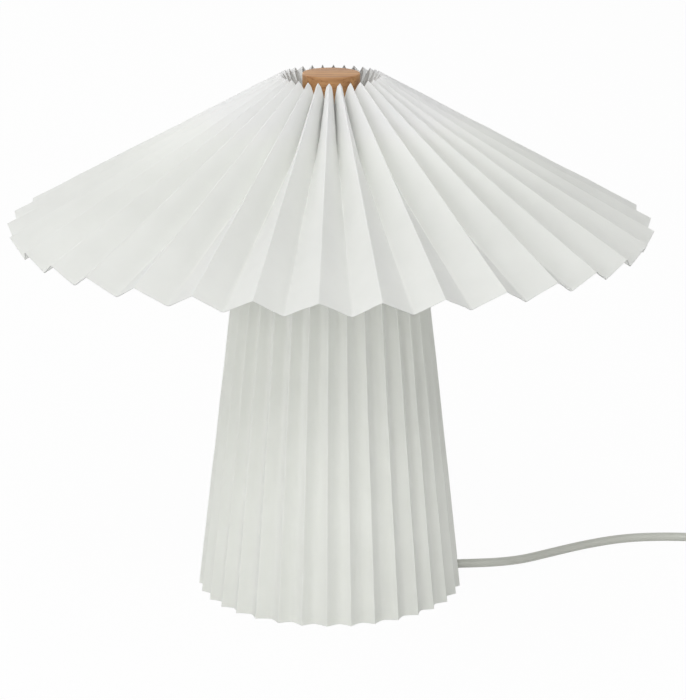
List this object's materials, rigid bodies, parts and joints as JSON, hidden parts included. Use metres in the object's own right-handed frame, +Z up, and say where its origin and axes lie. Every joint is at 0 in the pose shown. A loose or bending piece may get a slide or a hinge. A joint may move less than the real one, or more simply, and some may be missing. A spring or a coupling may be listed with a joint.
{
  "type": "table lamp",
  "caption": "Pleated paper table lamp: wide conical shade under a round wooden cap, on a tapered pleated skirt, with a wire harp, bulb, inline switch and plug.",
  "frame": {"origin": "on the table, under the middle of the lamp", "axes": "+Z up, -Y the side that faces the viewer, +X the side where the flex leaves"},
  "size_m": [0.6787, 0.4401, 0.3557],
  "materials": {
    "shade_paper": "matte white pleated paper",
    "skirt_paper": "matte white pleated paper",
    "beech": "clear-lacquered light wood",
    "white_steel": "white powder coat",
    "white_wire": "white powder coat",
    "zinc_steel": "zinc plated",
    "cast_iron": "as cast",
    "foot_rubber": "soft rubber",
    "nickel": "nickel plated",
    "brass": "plain brass",
    "holder_plastic": "white moulded plastic",
    "holder_ceramic": "unglazed",
    "bulb_plastic": "white moulded plastic",
    "opal_globe": "opal diffuser",
    "fibre": "pressed fibre",
    "gland_plastic": "soft light grey moulding",
    "flex_sheath": "light grey sheath",
    "switch_plastic": "white moulded plastic",
    "rocker_plastic": "white moulded plastic",
    "tie_plastic": "soft strap",
    "plug_plastic": "white moulded plastic",
    "sleeve_plastic": "grey insulating sleeve"
  },
  "bodies": {
    "root": {"feet": "foot_rubber", "bottom_cover": "white_steel", "cover_screws": "zinc_steel", "ballast_ring": "cast_iron", "base_shell": "white_steel", "stem_tube": "zinc_steel", "stem_nuts": "zinc_steel", "stem_washers": "zinc_steel", "skirt_ring_low": "white_wire", "skirt_ring_high": "white_wire", "skirt_ribs": "white_wire", "skirt_spider": "white_wire", "skirt_paper": "skirt_paper", "harp_spacer": "zinc_steel", "harp_saddle": "nickel", "harp": "nickel", "finial_stud": "nickel", "lampholder_cap": "holder_plastic", "lampholder_body": "holder_plastic", "lampholder_block": "holder_ceramic", "lampholder_thread": "brass", "lampholder_tongue": "brass", "cord_gland": "gland_plastic", "inner_cable": "flex_sheath", "flex_to_switch": "flex_sheath", "switch_base": "switch_plastic", "switch_cover": "switch_plastic", "switch_bushes": "gland_plastic", "switch_leads": "flex_sheath", "switch_terminals": "brass", "switch_screws": "zinc_steel", "flex_to_coil": "flex_sheath", "flex_coil": "flex_sheath", "coil_tie": "tie_plastic", "flex_to_plug": "flex_sheath", "plug_body": "plug_plastic", "plug_pins": "nickel", "plug_sleeves": "sleeve_plastic"},
    "shade": {"shade_spider": "white_wire", "shade_ring_high": "white_wire", "shade_ring_low": "white_wire", "shade_paper": "shade_paper"},
    "cap_washer": {"cap_washer": "fibre"},
    "cap": {"wooden_cap": "beech", "cap_insert": "brass"},
    "bulb_contact": {"bulb_contact": "nickel"},
    "bulb": {"bulb_cap": "nickel", "bulb_collar": "bulb_plastic", "bulb_globe": "opal_globe"},
    "rocker": {"switch_rocker": "rocker_plastic"}
  },
  "joints": [
    {"name": "shade_lift", "type": "slide", "parent": "root", "child": "shade", "axis": [0, 0, 1], "range_m": [0, 0.12]},
    {"name": "cap_rise", "type": "slide", "parent": "shade", "child": "cap_washer", "axis": [0, 0, 1], "range_m": [0, 0.00701]},
    {"name": "cap_turn", "type": "hinge", "parent": "cap_washer", "child": "cap", "pos_m": [0, 0, 0.346], "axis": [0, 0, 1], "range_deg": [0, 2520]},
    {"name": "bulb_rise", "type": "slide", "parent": "root", "child": "bulb_contact", "axis": [0, 0, 1], "range_m": [0, 0.0113]},
    {"name": "bulb_turn", "type": "hinge", "parent": "bulb_contact", "child": "bulb", "pos_m": [0, 0, 0.24], "axis": [0, 0, 1], "range_deg": [0, 1440]},
    {"name": "rocker_tilt", "type": "hinge", "parent": "root", "child": "rocker", "pos_m": [0.34, 0.078, 0.0158], "axis": [0, 1, 0], "range_deg": [0, 16]}
  ],
  "couplings": [
    {"joint": "cap_rise", "follows": "cap_turn", "m_per_rad": 0.00015915},
    {"joint": "bulb_rise", "follows": "bulb_turn", "m_per_rad": 0.00044914}
  ]
}
